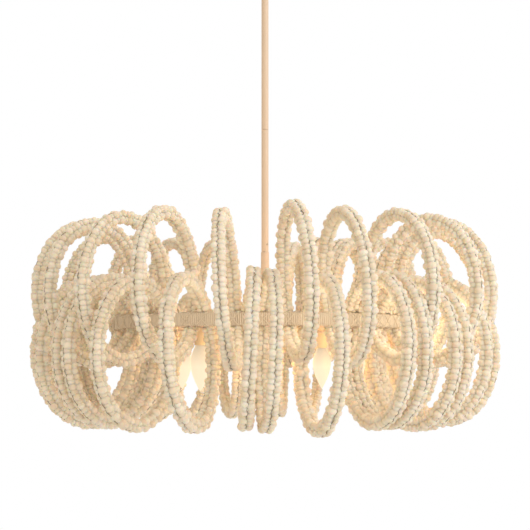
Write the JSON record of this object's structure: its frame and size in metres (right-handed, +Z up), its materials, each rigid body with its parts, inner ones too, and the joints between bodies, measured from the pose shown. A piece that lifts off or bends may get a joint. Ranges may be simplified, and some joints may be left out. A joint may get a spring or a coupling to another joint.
{
  "type": "beaded chandelier",
  "caption": "Tiered chandelier of upright oval hoops strung with wood beads, set radially on a carrier ring with candle lamps inside, hung by a stem from a domed swivel canopy.",
  "frame": {"origin": "centre of the mounting strap's top face, where it lies against the ceiling box", "axes": "+Z up, -Y towards the viewer of the picture, +X to the viewer's right"},
  "size_m": [0.8258, 0.8265, 0.8819],
  "materials": {
    "beads": "matt, whitewashed",
    "cream_paint": "satin",
    "bare_metal": "zinc plated",
    "sleeve": "candle sleeve, matt",
    "bulb_glass": "frosted, lit warm white"
  },
  "bodies": {
    "ceiling_side": {"mounting_strap": "bare_metal", "canopy": "cream_paint"},
    "swivel": {"swivel_yoke": "bare_metal"},
    "hanging": {"bulb_1": "bulb_glass", "bulb_2": "bulb_glass", "bulb_3": "bulb_glass", "bulb_4": "bulb_glass", "carrier": "cream_paint", "lampholder_1": "sleeve", "lampholder_2": "sleeve", "lampholder_3": "sleeve", "lampholder_4": "sleeve", "lower_hoop_01": "beads", "lower_hoop_02": "beads", "lower_hoop_03": "beads", "lower_hoop_04": "beads", "lower_hoop_05": "beads", "lower_hoop_06": "beads", "lower_hoop_07": "beads", "lower_hoop_08": "beads", "lower_hoop_09": "beads", "lower_hoop_10": "beads", "lower_hoop_11": "beads", "lower_hoop_12": "beads", "lower_hoop_13": "beads", "lower_hoop_14": "beads", "lower_hoop_15": "beads", "lower_hoop_16": "beads", "lower_hoop_17": "beads", "lower_hoop_18": "beads", "lower_hoop_19": "beads", "lower_hoop_20": "beads", "lower_hoop_21": "beads", "lower_hoop_22": "beads", "lower_hoop_23": "beads", "stem_lower": "cream_paint", "stem_upper": "cream_paint", "trumpet": "cream_paint", "upper_hoop_01": "beads", "upper_hoop_02": "beads", "upper_hoop_03": "beads", "upper_hoop_04": "beads", "upper_hoop_05": "beads", "upper_hoop_06": "beads", "upper_hoop_07": "beads", "upper_hoop_08": "beads", "upper_hoop_09": "beads", "upper_hoop_10": "beads", "upper_hoop_11": "beads", "upper_hoop_12": "beads", "upper_hoop_13": "beads", "upper_hoop_14": "beads", "upper_hoop_15": "beads", "upper_hoop_16": "beads", "upper_hoop_17": "beads", "upper_hoop_18": "beads", "upper_hoop_19": "beads", "upper_hoop_20": "beads", "upper_hoop_21": "beads", "upper_hoop_22": "beads"}
  },
  "joints": [
    {"name": "swivel_turn", "type": "hinge", "parent": "ceiling_side", "child": "swivel", "pos_m": [0, 0, -0.0193], "axis": [0, 0, 1], "range_deg": [-175, 175]},
    {"name": "stem_tilt", "type": "hinge", "parent": "swivel", "child": "hanging", "pos_m": [0, 0, -0.031], "axis": [0, 1, 0], "range_deg": [-20, 20]}
  ]
}
